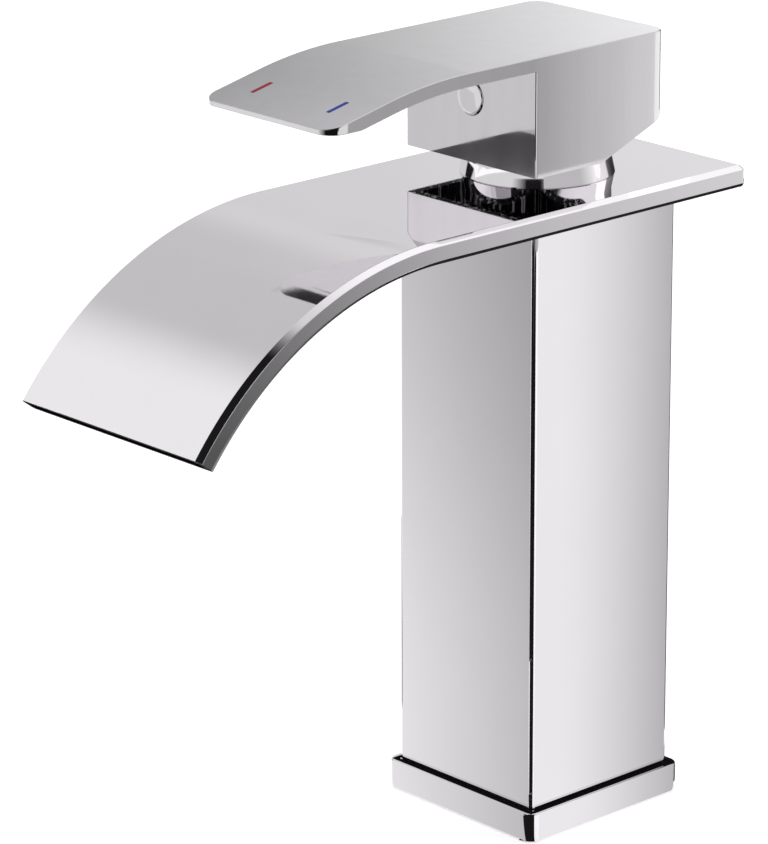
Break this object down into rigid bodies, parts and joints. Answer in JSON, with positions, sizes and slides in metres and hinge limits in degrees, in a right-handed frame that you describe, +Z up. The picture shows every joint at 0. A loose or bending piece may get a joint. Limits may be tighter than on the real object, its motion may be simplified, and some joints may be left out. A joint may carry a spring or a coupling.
{
  "type": "waterfall basin faucet",
  "caption": "Square column basin mixer with a flat hollow spout that bends down to a wide water slot, and a block handle whose flat lever lifts to open and turns to mix.",
  "frame": {"origin": "on the column's axis at the deck, in the plane of the base flange's underside", "axes": "+Z up along the column, -Y along the spout towards the basin, +X to the right seen from the basin, which is the cold side"},
  "size_m": [0.0628, 0.1701, 0.2482],
  "materials": {
    "chrome": "mirror-polished chrome plate",
    "handle_chrome": "polished chrome plate on a zinc casting",
    "brass": "machined brass",
    "copper": "drawn copper tube",
    "steel": "zinc-plated steel",
    "rubber": "matte black rubber",
    "housing_plastic": "moulded white acetal",
    "base_plastic": "moulded blue plastic",
    "carrier_plastic": "moulded amber plastic",
    "turret_plastic": "moulded dark plastic",
    "ceramic": "lapped white alumina ceramic",
    "red_enamel": "red enamel fill",
    "blue_enamel": "blue enamel fill"
  },
  "bodies": {
    "faucet": {"base_seal": "rubber", "base_flange": "chrome", "base_insert": "brass", "column_shell": "chrome", "tie_bolts": "steel", "hot_riser": "copper", "cold_riser": "copper", "riser_orings": "rubber", "valve_body": "brass", "body_gasket": "rubber", "spout_bottom": "chrome", "spout_top": "chrome", "spacer_ring": "brass", "bonnet_seal": "rubber", "bonnet": "chrome", "cartridge_nut": "brass", "housing_oring": "rubber", "cartridge_housing": "housing_plastic", "cartridge_base": "base_plastic", "inlet_seals": "rubber", "disc_seals": "rubber", "fixed_disc": "ceramic", "fixing_stud": "steel", "horseshoe_seal": "rubber", "horseshoe_washer": "steel", "fixing_nut": "brass"},
    "swivel": {"turret": "turret_plastic", "pivot_pin": "steel"},
    "disc_slider": {"moving_disc": "ceramic", "disc_carrier": "carrier_plastic"},
    "lever": {"stem": "brass", "handle": "handle_chrome", "set_screw": "steel", "index_plug": "chrome", "hot_mark": "red_enamel", "cold_mark": "blue_enamel"}
  },
  "joints": [
    {"name": "lever_turn", "type": "hinge", "parent": "faucet", "child": "swivel", "pos_m": [0, 0, 0.15], "axis": [0, 0, 1], "range_deg": [-45, 45]},
    {"name": "lever_lift", "type": "hinge", "parent": "swivel", "child": "lever", "pos_m": [0, 0, 0.15], "axis": [-1, 0, 0], "range_deg": [0, 25]},
    {"name": "disc_slide", "type": "slide", "parent": "swivel", "child": "disc_slider", "axis": [0, -1, 0], "range_m": [0, 0.00444]}
  ],
  "couplings": [
    {"joint": "disc_slide", "follows": "lever_lift", "m_per_rad": 0.01017}
  ]
}
